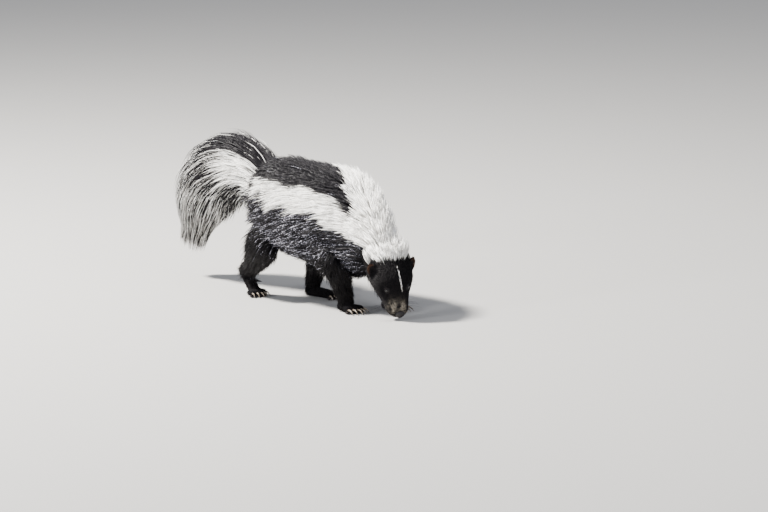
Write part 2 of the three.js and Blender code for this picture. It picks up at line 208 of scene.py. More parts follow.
def trunk_at(t):
    """Sections of the trunk's skin, which lies under the coat's outline by the named depths."""
    back_x, back_z, belly_x, belly_z, left, half, yaw = spline(TRUNK, t).T
    turn = np.radians(yaw)
    lean = (back_x - belly_x) / 2
    centre = columns((back_x + belly_x) / 2, left, (back_z + belly_z) / 2)
    side = columns(-np.sin(turn), np.cos(turn), 0 * turn) * (half - TRUNK_DEPTH)[:, None]
    up = columns(lean * np.cos(turn), lean * np.sin(turn), (back_z - belly_z) / 2)
    high = np.linalg.norm(up, axis=-1, keepdims=True)
    centre = centre + up / high * (BELLY_DEPTH - TRUNK_DEPTH) / 2
    return centre, side, up / high * (high - (TRUNK_DEPTH + BELLY_DEPTH) / 2)


def limb_at(points, radii, t, flatten=1.0):
    centre = spline(points, t)
    ahead = spline(points, np.minimum(t + 0.01, 1)) - spline(points, np.maximum(t - 0.01, 0))
    forward = unit(ahead)
    up = unit(np.cross(forward, [0, 1, 0]))
    side = np.cross(up, forward)
    r = spline(np.asarray(radii, float)[:, None], t)
    return centre, side * r * flatten, up * r


def tail_at(t):
    return limb_at(TAIL, TAIL_RADIUS, t, TAIL_FLATTEN)


def tail_core(t):
    """The tail's skin as a share of its full outline: wider where it joins the trunk."""
    return TAIL_CORE + 0.42 * (1 - step(t, 0, 0.16))


def skull_at(t, grow):
    x, top, bottom, half = spline(SKULL, t).T
    zero = 0 * x
    centre = columns(x, zero, (top + bottom) / 2)
    return centre, columns(zero, half + grow, zero), columns(zero, zero, (top - bottom) / 2 + grow)


# Closed bodies as points and triangles

def tube(centre, side, up, sides, caps):
    """A closed body through sections, its two ends closed at points that stand out by the caps."""
    angle = np.linspace(0, 2 * np.pi, sides, endpoint=False)
    ring = centre[:, None] + side[:, None] * np.cos(angle)[:, None] + up[:, None] * np.sin(angle)[:, None]
    forward = unit(np.cross(side, up))
    ends = [centre[0] - forward[0] * caps[0], centre[-1] + forward[-1] * caps[1]]
    return np.vstack([ring.reshape(-1, 3), *ends]), ring_faces(len(centre), sides)


def ring_faces(rings, sides):
    """Triangles over rings of points, whose two ends close at the two points that follow them."""
    r, s = np.meshgrid(np.arange(rings - 1), np.arange(sides), indexing="ij")
    a, b = r * sides + s, r * sides + (s + 1) % sides
    quads = np.stack([a, b, b + sides, a, b + sides, a + sides], -1).reshape(-1, 3)
    s = np.arange(sides)
    after = (s + 1) % sides
    last = (rings - 1) * sides
    start = np.stack([np.full(sides, rings * sides), after, s], -1)
    end = np.stack([np.full(sides, rings * sides + 1), last + s, last + after], -1)
    return np.vstack([quads, start, end])


def ball(centre, radii, sides):
    t = np.linspace(0.02, 0.98, sides // 2)
    across = np.sin(np.pi * t)[:, None]
    line = columns(-np.cos(np.pi * t), 0 * t, 0 * t)
    points, faces = tube(line, across * [0, 1, 0], across * [0, 0, 1], sides, (0.002, 0.002))
    return points * radii + centre, faces


def joined(bodies):
    points, faces, start = [], [], 0
    for p, f in bodies:
        points.append(p)
        faces.append(f + start)
        start += len(p)
    return np.vstack(points), np.vstack(faces)


def metres(points):
    """Millimetres in the animal's own place as Blender's flat list of metres in the part's frame."""
    return ((points + MIDDLE) * 0.001).astype(np.float32).ravel()


def in_scene(name, data):
    obj = bpy.data.objects.new(name, data)
    bpy.context.scene.collection.objects.link(obj)
    return obj


def new_object(name, points, faces):
    """A mesh object of triangles, from millimetres in the animal's own place."""
    mesh = bpy.data.meshes.new(name)
    mesh.vertices.add(len(points))
    mesh.vertices.foreach_set("co", metres(points))
    mesh.loops.add(faces.size)
    mesh.loops.foreach_set("vertex_index", faces.astype(np.int32).ravel())
    mesh.polygons.add(len(faces))
    mesh.polygons.foreach_set("loop_start", np.arange(0, faces.size, 3, dtype=np.int32))
    mesh.polygons.foreach_set("use_smooth", np.ones(len(faces), bool))
    mesh.update(calc_edges=True)
    mesh.validate()
    return in_scene(name, mesh)


def read(items, field, width, kind=np.float32):
    """One field of a Blender collection, with a row for each item."""
    values = np.empty(len(items) * width, kind)
    items.foreach_get(field, values)
    return values.reshape(-1, width)


def get_points(mesh):
    return read(mesh.vertices, "co", 3).astype(float) * 1000 - MIDDLE


def paint(obj, colours):
    layer = obj.data.color_attributes.new(name="Fur", type="FLOAT_COLOR", domain="POINT")
    full = np.concatenate([colours, np.ones((len(colours), 1))], 1).astype(np.float32)
    layer.data.foreach_set("color", full.ravel())


# The body under the coat

def ear_frame(side):
    facing = unit(mirrored(EAR["facing"], side))
    rising = mirrored(EAR["rising"], side)
    rising = unit(rising - facing * (rising @ facing))
    return np.stack([facing, np.cross(rising, facing), rising], 1)


def ear_body(side):
    """A cup: a rounded blade whose front is hollow, closed from a grid over its outside and inside."""
    rows, sides = 22, 40
    angle = np.linspace(0, 2 * np.pi, sides, endpoint=False)
    outer = np.linspace(0.03, 0.5, rows)
    thick, wide, tall, wall = EAR["thick"], EAR["wide"], EAR["tall"], EAR["wall"]
    outside = (outer, thick, 1, 0, wide, tall)
    inside = (outer[::-1], thick - wall * 0.9, 0.8, 1.2, wide - wall, tall - wall)
    rings = []
    for shares, deep, shrink, ahead, across, up in (outside, inside):
        for k in shares:
            reach, back = math.sin(math.pi * k), -math.cos(math.pi * k)
            x = deep * back * shrink + ahead
            rings.append([(x, across * reach * math.cos(a), up * reach * math.sin(a)) for a in angle])
    grid = np.array(rings)
    points = np.vstack([grid.reshape(-1, 3), grid[0].mean(0), grid[-1].mean(0)])
    placed = points @ ear_frame(side).T + mirrored(EAR["at"], side)
    return from_head(placed), ring_faces(len(grid), sides)


def toe_lines(kind):
    """Each toe and claw as lines of points, in the foot's own place."""
    size = PAWS[kind]
    for i in range(TOES):
        off = i - (TOES - 1) / 2
        y = off * size["half"] * 2 / TOES
        reach = size["ball"] + size["toe"] - abs(off) * 2.2
        out = y + off * TOE_SPREAD / TOES
        tip = out + off * 0.8
        toe = [[size["ball"] - 6, y, 6], [(size["ball"] + reach) / 2, (y + out) / 2, 6.4], [reach, out, 4.2]]
        claw = [[reach - 2.5, out, 5], [reach + size["claw"] * 0.3, (out * 3 + tip) / 4, 6.2],
                [reach + size["claw"] * 0.7, (out + tip) / 2, 4.6], [reach + size["claw"], tip, 1.0]]
        yield toe, claw


def on_foot(body, leg):
    """A body from a foot's own place to where that foot stands."""
    points, faces = body
    at, yaw = LEGS[leg][2:4]
    return turn_z(points, yaw) + [at[0], at[1], 0], faces


def foot_bodies(leg):
    size = PAWS[LEGS[leg][4]]
    z = size["high"] / 2
    line = [[size["heel"], 0, z + size["rise"]],
            [(size["heel"] + size["ball"]) / 2, 0, z * 0.8 + size["rise"] * 0.42],
            [size["ball"], 0, z * 0.66]]
    radii = [size["high"] * 0.46, size["high"] * 0.44, size["half"] * 0.56]
    t = np.linspace(0, 1, 12)
    bodies = [tube(*limb_at(line, radii, t, 1.3), 24, (4, 4))]
    toe_radii = [TOE_RADIUS * 0.95, TOE_RADIUS, TOE_RADIUS * 0.75]
    for toe, _ in toe_lines(LEGS[leg][4]):
        bodies.append(tube(*limb_at(toe, toe_radii, np.linspace(0, 1, 8)), 14, (1, 2)))
    return [on_foot(body, leg) for body in bodies]


def body_parts():
    t = np.linspace(0, 1, 60)
    bodies = [tube(*trunk_at(t), 64, (10, 0))]
    centre, side, up = skull_at(t, -1.4 - 2.2 * step(-spline(SKULL, t)[:, 0], -24, 0))
    p, f = tube(centre, side, up, 56, (0, 1.0))
    bodies.append((from_head(p), f))
    core = tail_core(t)
    centre, side, up = tail_at(t * 0.9)
    bodies.append(tube(centre, side * core[:, None], up * core[:, None], 28, (0, 8)))
    for leg, (line, radii, *_) in LEGS.items():
        inner = np.array(radii) - LEG_COAT
        bodies.append(tube(*limb_at(line, inner, np.linspace(0, 1, 30)), 28, (12, 3)))
        bodies += foot_bodies(leg)
    bodies += [ear_body(1), ear_body(-1)]
    return bodies


def make_skin():
    rough = new_object("skin_rough", *joined(body_parts()))
    remesh = rough.modifiers.new("Remesh", "REMESH")
    remesh.mode = "VOXEL"
    remesh.voxel_size = VOXEL
    graph = bpy.context.evaluated_depsgraph_get()
    mesh = bpy.data.meshes.new_from_object(rough.evaluated_get(graph))
    mesh.name = "skin"
    bpy.data.objects.remove(rough)
    return in_scene("skin", mesh)


def smoothed(points, edges, weight, rounds):
    """Moves every point towards the middle of its neighbours by its weight."""
    a, b = edges.T
    count = np.bincount(edges.ravel(), minlength=len(points))[:, None]
    for _ in range(rounds):
        sums = [np.bincount(a, line[b], len(line)) + np.bincount(b, line[a], len(line)) for line in points.T]
        points = points + weight[:, None] * (columns(*sums) / count - points)
    return points


# Where a point of the skin is, and how its hair grows

def nearest_section(p, centre, side, up, far=0.15):
    """For each point the station whose plane it lies in, its angle and its share of that section's radius."""
    forward = unit(np.cross(side, up))
    best = np.full(len(p), np.inf)
    index = np.zeros(len(p), int)
    for i in range(len(centre)):
        away = p - centre[i]
        cost = np.abs(away @ forward[i]) + far * np.linalg.norm(away, axis=1)
        closer = cost < best
        best[closer] = cost[closer]
        index[closer] = i
    away = p - centre[index]
    a = dots(away, side[index]) / dots(side[index], side[index])
    b = dots(away, up[index]) / dots(up[index], up[index])
    past = np.abs(dots(away, forward[index])) / np.linalg.norm(up[index], axis=1)
    return index, np.degrees(np.arctan2(b, a)), np.sqrt(a * a + b * b) + past, forward[index]


def survey(p, n):
    """Every point's place on the body: its share of each part, where it is on that, and how its hair lies."""
    s, near, lies = {"h": to_head(p)}, {}, {}
    survey_trunk_and_tail(p, s, near, lies)
    survey_legs(p, s, near, lies)
    survey_head(s, near, lies)
    survey_feet(p, near, lies)
    names = list(near)
    r = np.stack([near[k] for k in names])
    w = np.exp(-(r - r.min(0)) / 0.10)
    w /= w.sum(0)
    share = dict(zip(names, w))
    lie = sum(share[name][:, None] * unit(lies[name]) for name in names)
    s["lie"] = unit(along_skin(lie, n))
    s.update({name: share[name] for name in ("trunk", "tail", "head")})
    s["foot"] = sum(share["foot_" + leg] for leg in LEGS)
    s["leg"] = sum(share[leg] for leg in LEGS)
    survey_ears(p, n, s, near)
    return s


STATIONS = np.linspace(0, 1, 140)


def survey_trunk_and_tail(p, s, near, lies):
    i, angle, near["trunk"], forward = nearest_section(p, *trunk_at(STATIONS))
    s["t"], s["angle"] = STATIONS[i], angle % 360
    flank = np.abs(np.cos(np.radians(angle)))
    fall = 0.5 * flank * step(np.sin(np.radians(angle)), -0.9, 0.2)
    lies["trunk"] = -forward + np.array([0, 0, -1.0]) * fall[:, None]
    i, angle, r, lies["tail"] = nearest_section(p, *tail_at(STATIONS))
    s["tail_t"], s["tail_angle"] = STATIONS[i], angle % 360
    near["tail"] = r / tail_core(s["tail_t"])


def survey_legs(p, s, near, lies):
    s["leg_t"], s["leg_angle"], nearest = np.zeros(len(p)), np.zeros(len(p)), np.full(len(p), np.inf)
    for k, (leg, (line, radii, *_)) in enumerate(LEGS.items()):
        inner = np.array(radii) - LEG_COAT
        i, angle, r, forward = nearest_section(p, *limb_at(line, inner, STATIONS))
        near[leg] = r
        lies[leg] = forward + np.array([-0.15, 0, 0])
        s["leg_t"] = np.where(r < nearest, STATIONS[i], s["leg_t"])
        s["leg_angle"] = np.where(r < nearest, (k + (angle % 360) / 360) / len(LEGS), s["leg_angle"])
        nearest = np.minimum(nearest, r)


def survey_head(s, near, lies):
    x, y, z = s["h"].T
    t = np.interp(x, SKULL[:, 0], np.linspace(0, 1, len(SKULL)))
    _, top, bottom, half = spline(SKULL, t).T
    middle, high = (top + bottom) / 2, (top - bottom) / 2
    near["head"] = np.sqrt((y / half) ** 2 + ((z - middle) / high) ** 2) + np.maximum(-6 - x, 0) / 12
    outward = 0.35 * np.sign(y) * step(np.abs(y), 4, 26)
    lies["head"] = columns(-np.ones(len(x)), outward, -0.25 * step(-z, -12, 16)) @ HEAD.T


def survey_feet(p, near, lies):
    for leg, (*_, at, yaw, kind) in LEGS.items():
        size = PAWS[kind]
        x, y, z = turn_z(p - [at[0], at[1], 0], -yaw).T
        top = 15 + size["rise"] * (1 - step(x, size["heel"], size["ball"]))
        inside = (np.abs(y) < 24) & (x > size["heel"] - 12) & (x < size["ball"] + 24) & (z < top)
        ahead = turn_z(np.array([[1.0, 0, -0.5 if size["rise"] else -0.1]]), yaw)
        lies["foot_" + leg] = np.repeat(ahead, len(p), 0)
        near["foot_" + leg] = np.where(inside, 0.6, 9.0)


def survey_ears(p, n, s, near):
    """Marks the ears, their round, their opening, and how high on the ear a point is."""
    ear, round_ear, inner_ear, ear_front, ear_top = np.zeros((5, len(p)))
    for side in (1, -1):
        axes = ear_frame(side)
        x, y, z = ((s["h"] - mirrored(EAR["at"], side)) @ axes).T
        r = np.sqrt((y / EAR["wide"]) ** 2 + (z / EAR["tall"]) ** 2)
        facing = (n @ HEAD) @ axes[:, 0]
        shallow = x > -0.6 * EAR["thick"] * np.sqrt(np.clip(1 - r * r, 0, 1))
        on_ear = (r < 1.12) & (np.abs(x) < EAR["thick"] + 1.5) & (near["head"] > 1.0)
        ear[on_ear] = 1
        round_ear[(r < np.where(z > 0, 1.02, 1.35)) & (np.abs(x) < EAR["thick"] + 6)] = 1
        inner_ear[on_ear & shallow & (facing > -0.3) & (r < 0.95)] = 1
        ear_front[on_ear & (facing > -0.35)] = 1
        ear_top = np.where(on_ear, step(z / EAR["tall"], -0.5, -0.05), ear_top)
    brown = np.maximum(inner_ear, 0.85 * ear_front * ear_top)
    s.update(ear=ear, inner_ear=inner_ear, round_ear=round_ear, ear_top=ear_top, ear_brown=brown)


# Markings: how white the coat is, from a place on the body alone

# The stripes' edges along the trunk, in degrees round it: 0 is its left, 90 its top and 180 its right side.
RIGHT_EDGE = ([0.0, 0.19, 0.28, 0.40, 0.51, 0.62, 0.70, 0.85, 1.0],
              [156, 159, 164, 161, 158, 162, 160, 150, 150])
LEFT_EDGE = ([0.0, 0.20, 0.41, 0.53, 0.67, 0.85, 1.0], [26, 24, 22, 22, 20, 22, 26])
WEDGE_RIGHT = ([0.0, 0.22, 0.33, 0.51, 0.60, 0.67, 0.70, 1.0], [135, 137, 137, 136, 134, 131, 126, 118])
WEDGE_LEFT = ([0.0, 0.20, 0.34, 0.41, 0.47, 0.53, 0.60, 0.67, 0.70, 1.0],
              [50, 54, 64, 78, 90, 106, 119.5, 128, 129, 138])
STRIPE_END = 0.13
NAPE_EDGE = 8.0
BLAZE_X = [19, 24, 31, 38, 44, 49]
BLAZE_HALF = [0.2, 0.55, 0.8, 0.75, 0.5, 0.15]
BLAZE_Y = [1.2, 1.6, 2.3, 3.2, 4.2, 5.2]


def white_trunk(p, t, angle):
    wander = 3.0 * drift(p, 46) + 1.5 * drift(p, 17, 2.0)
    inside = np.minimum(np.interp(t, *RIGHT_EDGE) - angle, angle - np.interp(t, *LEFT_EDGE)) + wander
    wedge = np.minimum(np.interp(t, *WEDGE_RIGHT) - angle, angle - np.interp(t, *WEDGE_LEFT)) - wander
    white = step(inside, -2.5, 2.5) * (1 - step(wedge, -2.5, 2.5))
    return white * step(t + 0.012 * wander, STRIPE_END, STRIPE_END + 0.05)


def nape_white(p, h):
    """The cap of the neck ends in a line across the crown, a little further back behind the ears."""
    edge = NAPE_EDGE - np.where(h[:, 1] > 0, 9, 5) * step(np.abs(h[:, 1]), 15, 27) + 1.2 * drift(p, 14)
    return step(edge - h[:, 0], -1.0, 1.0)


def white_head(p, h):
    nape = nape_white(p, h) * step(h[:, 2], -6, 2)
    off = np.abs(h[:, 1] - np.interp(h[:, 0], BLAZE_X, BLAZE_Y))
    line = step(np.interp(h[:, 0], BLAZE_X, BLAZE_HALF) - off, -0.4, 0.4) * (h[:, 2] > 5)
    line = line * (h[:, 0] > BLAZE_X[0]) * (h[:, 0] < BLAZE_X[-1])
    return np.clip(nape + line, 0, 1)


def whiteness(p, s, shown_behind=0.0):
    behind = nape_white(p, s["h"])
    white = s["trunk"] * white_trunk(p, s["t"] - shown_behind, s["angle"]) * np.where(s["t"] > 0.8, behind, 1)
    white = white + s["head"] * white_head(p, s["h"])
    white = white + s["tail"] * white_tail(s["tail_t"], np.radians(s["tail_angle"]))
    return np.clip(white, 0, 1) * (1 - s["round_ear"])


def white_tail(t, angle):
    """Black along the top, a white band down each side from the rump, and more white hairs to the end."""
    top = -np.sin(angle)
    band = step(0.52 - np.abs(top - 0.02), -0.12, 0.12) * step(-t, -0.44, -0.28)
    below = 0.34 * step(-top, 0.45, 0.8) * step(-t, -0.40, -0.25)
    end = 0.36 * step(t, 0.30, 0.60) * (1 - 0.5 * step(top, 0.5, 0.9) * step(-t, -0.75, -0.6))
    return np.clip(0.04 + 0.86 * band + below + end, 0, 1)


BLACK = np.array([0.0050, 0.0045, 0.0056])
# Black hair's tip: a little lighter than its root, with a faint purple cast that is painted sheen.
BLACK_TIP = np.array([0.0100, 0.0088, 0.0108])
# Painted highlights: the pale tip some black hairs get where light would glint on them, how late along the
# hair it takes over, and what share of hairs get it.
PAINTED_GLINT = np.array([0.60, 0.59, 0.68])
PAINTED_GLINT_FADE = 2.0
PAINTED_GLINT_SHARE = 0.36
WHITE_ROOT = np.array([0.72, 0.70, 0.66])
WHITE_TIP = np.array([0.95, 0.935, 0.90])
FACE = np.array([0.0088, 0.0078, 0.0082])
EAR_INSIDE = np.array([0.034, 0.0168, 0.0108])
# The ear's opening: its own dark canal, darkened further with painted shade.
EAR_CANAL_AND_SHADE = np.array([0.006, 0.0035, 0.003])
DUST = np.array([0.39, 0.343, 0.272])
PAD = np.array([0.025, 0.020, 0.020])
IRIS = np.array([0.013, 0.0075, 0.0055])
PUPIL = np.array([0.003, 0.003, 0.003])
NOSE_LEATHER = (0.013, 0.011, 0.011)
CLAW_HORN = (0.13, 0.105, 0.08)
FLOOR_GREY = (0.36, 0.353, 0.341, 1)
# How late along a hair its tip's colour takes over, where nothing else is said.
EVEN_FADE = 1.3
# How far behind its root a long hair shows its colour, as a share of the trunk.
SHOWN_BEHIND = 0.05


# Materials

# Each one's roughness and specular level, how fine noise breaks up its colour, and its bump.
MATERIALS = {
    "skin": (0.75, 0.12, {"low": 0.7, "high": 1.25, "scale": 700}, {"depth": 0.0006, "scale": 1500}),
    "coat": (0.42, 0.15, {"low": 0.75, "high": 1.25, "scale": 500}, None),
    # The coat of hairs with painted highlights: its noise breaks the painted glints into fine specks.
    "painted_glint_coat": (0.4, 0.15, {"low": 0.04, "high": 2.1, "scale": 620, "between": (0.53, 0.63)}, None),
    "short_coat": (0.6, 0.08, {"low": 0.75, "high": 1.25, "scale": 500}, None),
    "eye": (0.05, 0.30, {"low": 0.8, "high": 1.2, "scale": 300}, None),
    "nose": (0.45, 0.25, {"low": 0.7, "high": 1.3, "scale": 1200}, {"depth": 0.0005, "scale": 2200}),
    "claw": (0.35, 0.5, {"low": 0.8, "high": 1.2, "scale": 600}, {"depth": 0.0002, "scale": 900}),
}


def add_node(tree, kind, settings=()):
    node = tree.nodes.new("ShaderNode" + kind)
    for name, value in dict(settings).items():
        node.inputs[name].default_value = value
    return node


def colour_from_noise(tree, place, shader, low, high, scale, between=(0.3, 0.7)):
    """Base colour from the Fur attribute, broken up by fine noise."""
    colour = add_node(tree, "Attribute")
    colour.attribute_name = "Fur"
    noise = add_node(tree, "TexNoise", {"Scale": scale, "Detail": 3})
    spread = add_node(tree, "MapRange", {"From Min": between[0], "From Max": between[1],
                                         "To Min": low, "To Max": high})
    times = add_node(tree, "VectorMath")
    times.operation = "MULTIPLY"
    tree.links.new(place, noise.inputs["Vector"])
    tree.links.new(noise.outputs["Fac"], spread.inputs["Value"])
    tree.links.new(colour.outputs["Color"], times.inputs[0])
    tree.links.new(spread.outputs["Result"], times.inputs[1])
    tree.links.new(times.outputs["Vector"], shader.inputs["Base Color"])


def relief_from_noise(tree, place, shader, depth, scale):
    fine = add_node(tree, "TexNoise", {"Scale": scale, "Detail": 4})
    relief = add_node(tree, "Bump", {"Strength": 0.6, "Distance": depth})
    tree.links.new(place, fine.inputs["Vector"])
    tree.links.new(fine.outputs["Fac"], relief.inputs["Height"])
    tree.links.new(relief.outputs["Normal"], shader.inputs["Normal"])


def new_material(name, roughness, specular):
    material = bpy.data.materials.new(name)
    material.use_nodes = True
    shader = material.node_tree.nodes["Principled BSDF"]
    shader.inputs["Roughness"].default_value = roughness
    shader.inputs["Specular IOR Level"].default_value = specular
    return material, shader


def make_materials():
    made = {}
    for name, (roughness, specular, noise, relief) in MATERIALS.items():
        made[name], shader = new_material(name, roughness, specular)
        tree = made[name].node_tree
        place = add_node(tree, "TexCoord").outputs["Object"]
        colour_from_noise(tree, place, shader, **noise)
        if relief:
            relief_from_noise(tree, place, shader, **relief)
    return made


def dress(obj, material, replaces=()):
    obj.data.materials.clear()
    obj.data.materials.append(material)
    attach(obj, "root")
    if replaces:
        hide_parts(*replaces)


# Tufts

def tufts(name, roots, start, end, length, width, pull, across, root_colour, tip_colour, uv, stations,
          follow=None, fade=EVEN_FADE):
    """Many closed three-sided tufts: each leaves the skin in the direction start and bends into end."""
    fade = np.broadcast_to(fade, len(roots))[:, None]
    count = len(roots)
    across = unit(across)
    shares = (np.arange(stations + 1) / stations) ** 0.7
    profile = {2: [0.8, 0.95, 0], 3: [0.65, 1.0, 0.72, 0], 4: [0.6, 1.0, 0.9, 0.6, 0]}[stations]
    points = np.empty((count, stations * 3 + 1, 3))
    colours = np.empty((count, stations * 3 + 1, 3))
    uvs = np.empty((count, stations * 3 + 1, 2))
    for k, u in enumerate(shares):
        if follow is None:
            spine = roots + length[:, None] * (start * u + (end - start) * u * u / 2) + pull * u * u
            way = unit(start + (end - start) * u)
        else:
            spine = follow(u)
            way = unit(follow(min(u + 0.05, 1.05)) - follow(u - 0.05))
        above = unit(np.cross(way, across))
        tone = mix(root_colour, tip_colour, u ** fade)
        if k == stations:
            points[:, -1] = spine
            colours[:, -1] = tone
            uvs[:, -1] = uv + [0, 0.0014]
            continue
        w = (width * profile[k] / 2)[:, None]
        points[:, 3 * k] = spine - across * w
        points[:, 3 * k + 1] = spine + above * w * 0.8
        points[:, 3 * k + 2] = spine + across * w
        colours[:, 3 * k:3 * k + 3] = tone[:, None]
        for j, offset in enumerate((-0.0013, 0, 0.0013)):
            uvs[:, 3 * k + j] = uv + [offset, 0.0028 * (u - 0.5)]
    local = [[0, 1, 2]]
    for k in range(stations - 1):
        for a, b in ((0, 1), (1, 2), (2, 0)):
            a, b = 3 * k + a, 3 * k + b
            local += [[a, a + 3, b + 3], [a, b + 3, b]]
    last = 3 * (stations - 1)
    tip = 3 * stations
    local += [[last, tip, last + 1], [last + 1, tip, last + 2], [last + 2, tip, last]]
    local = np.array(local)
    points[..., 2] = np.maximum(points[..., 2], 0.2)
    faces = (local[None] + (np.arange(count) * (stations * 3 + 1))[:, None, None]).reshape(-1, 3)
    obj = new_object(name, points.reshape(-1, 3), faces)
    paint(obj, np.clip(colours.reshape(-1, 3), 0, 1))
    layer = obj.data.uv_layers.new(name="OFBake")
    corner = read(obj.data.loops, "vertex_index", 1, np.int32)[:, 0]
    layer.data.foreach_set("uv", uvs.reshape(-1, 2)[corner].astype(np.float32).ravel())
    return obj


# Small forms that the remesh of the skin is too coarse for

def lid_body(side):
    """A soft rim round the eye's almond opening, sunk in the skin round it."""
    centre = mirrored(EYE["at"], side)
    look = unit(mirrored(EYE["look"], side))
    along = np.array([1, 0, -0.25])
    along = unit(along - look * (along @ look))
    across = np.cross(look, along)
    around = np.linspace(0, 2 * np.pi, 72, endpoint=False)
    section = np.linspace(0, 2 * np.pi, 16, endpoint=False)
    points = []
    for a in around:
        corner = abs(math.cos(a)) ** 6 * 8
        edge = math.radians(29 * abs(math.sin(a)) ** 1.6 + 42 * abs(math.cos(a)) ** 2 + corner)
        out = along * math.cos(a) + across * math.sin(a)
        for b in section:
            polar = edge + math.radians(46) * ((1 - math.cos(b)) / 2) ** 1.7
            reach = EYE["radius"] + 0.3 + 0.55 * math.sin(b)
            points.append(centre + reach * (look * math.cos(polar) + out * math.sin(polar)))
    n, m = len(around), len(section)
    r, s = np.meshgrid(np.arange(n), np.arange(m), indexing="ij")
    a, b = r * m + s, r * m + (s + 1) % m
    c, d = ((r + 1) % n) * m + s, ((r + 1) % n) * m + (s + 1) % m
    faces = np.stack([a, d, b, a, c, d], -1).reshape(-1, 3)
    if side > 0:
        faces = faces[:, ::-1]
    return from_head(points), faces


def mouth_line(x):
    return MOUTH["z"] - 0.9 * step(-x, -70, -MOUTH["back"])


def shape_face(h):
    """How far head points move, in the head's own place: the line of the mouth, cheeks, sockets and brows."""
    move = np.zeros_like(h)
    x, y, z = h.T
    side = np.sign(y)
    line = mouth_line(x)
    on_side = step(x, MOUTH["back"] - 2, MOUTH["back"] + 5) * (np.abs(y) > 3)
    slit = np.exp(-((z - line) / 0.85) ** 2) * on_side * step(-x, -MOUTH["front"] - 4, -60)
    lip = np.exp(-((z - line - 2.4) / 1.6) ** 2) * on_side
    move[:, 1] += side * (-1.5 * slit + 0.55 * lip)
    for s in (1, -1):
        at = mirrored(EYE["at"], s)
        away = np.linalg.norm(h - at, axis=1)
        near = np.exp(-((away - 6.5) / 2.6) ** 2)
        move[:, 1] -= s * 0.8 * near
        inner = np.exp(-(np.linalg.norm((h - (at + [9, -s * 3, 3])) / [8, 5, 5], axis=1)) ** 2)
        move[:, 2] -= 0.9 * inner
    return move


def finish_skin(obj):
    mesh = obj.data
    refine_face(obj)
    edges = read(mesh.edges, "vertices", 2, np.int32)
    p = get_points(mesh)
    h = to_head(p)
    on_head = step(h[:, 0], -6, 8) * (np.abs(h[:, 1]) < 40)
    on_foot = (p[:, 2] < 34).astype(float) * (1 - on_head)
    weight = 0.75 * (1 - 0.5 * on_head) * (1 - 0.6 * on_foot)
    p = smoothed(p, edges, weight, SMOOTHINGS)
    h = to_head(p)
    p = p + (shape_face(h) * on_head[:, None]) @ HEAD.T
    p[:, 2] = np.maximum(p[:, 2], 0.25)
    mesh.vertices.foreach_set("co", metres(p))
    mesh.update()
    return obj


def refine_face(obj):
    """Halves the faces of the muzzle and round the eyes."""
    work = bmesh.new()
    work.from_mesh(obj.data)
    chosen = set()
    for edge in work.edges:
        middle = (np.array(edge.verts[0].co) + np.array(edge.verts[1].co)) * 500 - MIDDLE
        if to_head(middle)[0] > 28 and middle[2] < 75 and middle[0] > 150:
            chosen.add(edge)
    bmesh.ops.subdivide_edges(work, edges=list(chosen), cuts=1, use_grid_fill=True)
    bmesh.ops.triangulate(work, faces=[f for f in work.faces if len(f.verts) > 4])
    work.to_mesh(obj.data)
    work.free()


def nose_points():
    """The bare nose, with its two nostrils and the groove between them."""
    points, faces = ball((0, 0, 0), (1, 1, 1), 120)
    x, y, z = points.T
    wide = NOSE["half"] * (1 + 0.12 * z)
    out = columns(x * NOSE["long"], y * wide, z * NOSE["high"])
    front = step(x, -0.2, 0.4)
    out[:, 0] -= 1.1 * np.exp(-(out[:, 1] / 0.5) ** 2) * front * step(-z, -0.5, 0.2)
    for s in (1, -1):
        high = out[:, 2] - 0.3 + 0.35 * (s * out[:, 1] - 3)
        curl = np.sqrt(((out[:, 1] - s * 3.2) / 1.75) ** 2 + (high / 1.35) ** 2)
        out[:, 0] -= 2.8 * np.exp(-curl ** 4) * front
        out[:, 0] += 0.35 * np.exp(-((curl - 1.55) / 0.5) ** 2) * front
    out += np.array(NOSE["at"])
    return from_head(out), faces


def claws_points():
    bodies = []
    for leg in LEGS:
        for _, claw in toe_lines(LEGS[leg][4]):
            sections = limb_at(claw, CLAW_RADIUS, np.linspace(0, 1, 14), CLAW_FLATTEN)
            bodies.append(on_foot(tube(*sections, 12, (0.5, 0.4)), leg))
    return joined(bodies)


def pads_points():
    """Bare soles: a pad under each toe and the larger one behind them."""
    bodies = []
    for leg in LEGS:
        size = PAWS[LEGS[leg][4]]
        for toe, _ in toe_lines(LEGS[leg][4]):
            bodies.append(on_foot(ball((toe[2][0] - 1, toe[2][1], 2.2), (3.3, 2.4, 2.2), 20), leg))
        for at, radii in (((size["ball"] - 6, 0, 2.6), (6, size["half"] * 0.85, 2.6)),
                          ((size["heel"] + 8, 0, 3.0), (9, 6, 3.0))):
            if size["rise"] and at[0] < 0:
                continue
            bodies.append(on_foot(ball(at, radii, 28), leg))
    return joined(bodies)


# Sowing the coat

def skin_triangles(mesh):
    mesh.calc_loop_triangles()
    return read(mesh.loop_triangles, "vertices", 3, np.int32)


def sow(p, n, tri, density, total):
    """Seeded roots on the skin: their places and normals, with a density that each vertex gives."""
    a, b, c = p[tri[:, 0]], p[tri[:, 1]], p[tri[:, 2]]
    area = np.linalg.norm(np.cross(b - a, c - a), axis=1) / 2
    load = np.cumsum(area * density[tri].mean(1))
    pick = (np.arange(total) + rng.random(total)) * load[-1] / total
    face = np.minimum(np.searchsorted(load, pick), len(tri) - 1)
    u, v = rng.random(total), rng.random(total)
    over = u + v > 1
    u[over], v[over] = 1 - u[over], 1 - v[over]
    shares = [w[:, None] for w in (1 - u - v, u, v)]
    places = sum(w * p[tri[face, k]] for k, w in enumerate(shares))
    normals = unit(sum(w * n[tri[face, k]] for k, w in enumerate(shares)))
    return places, normals


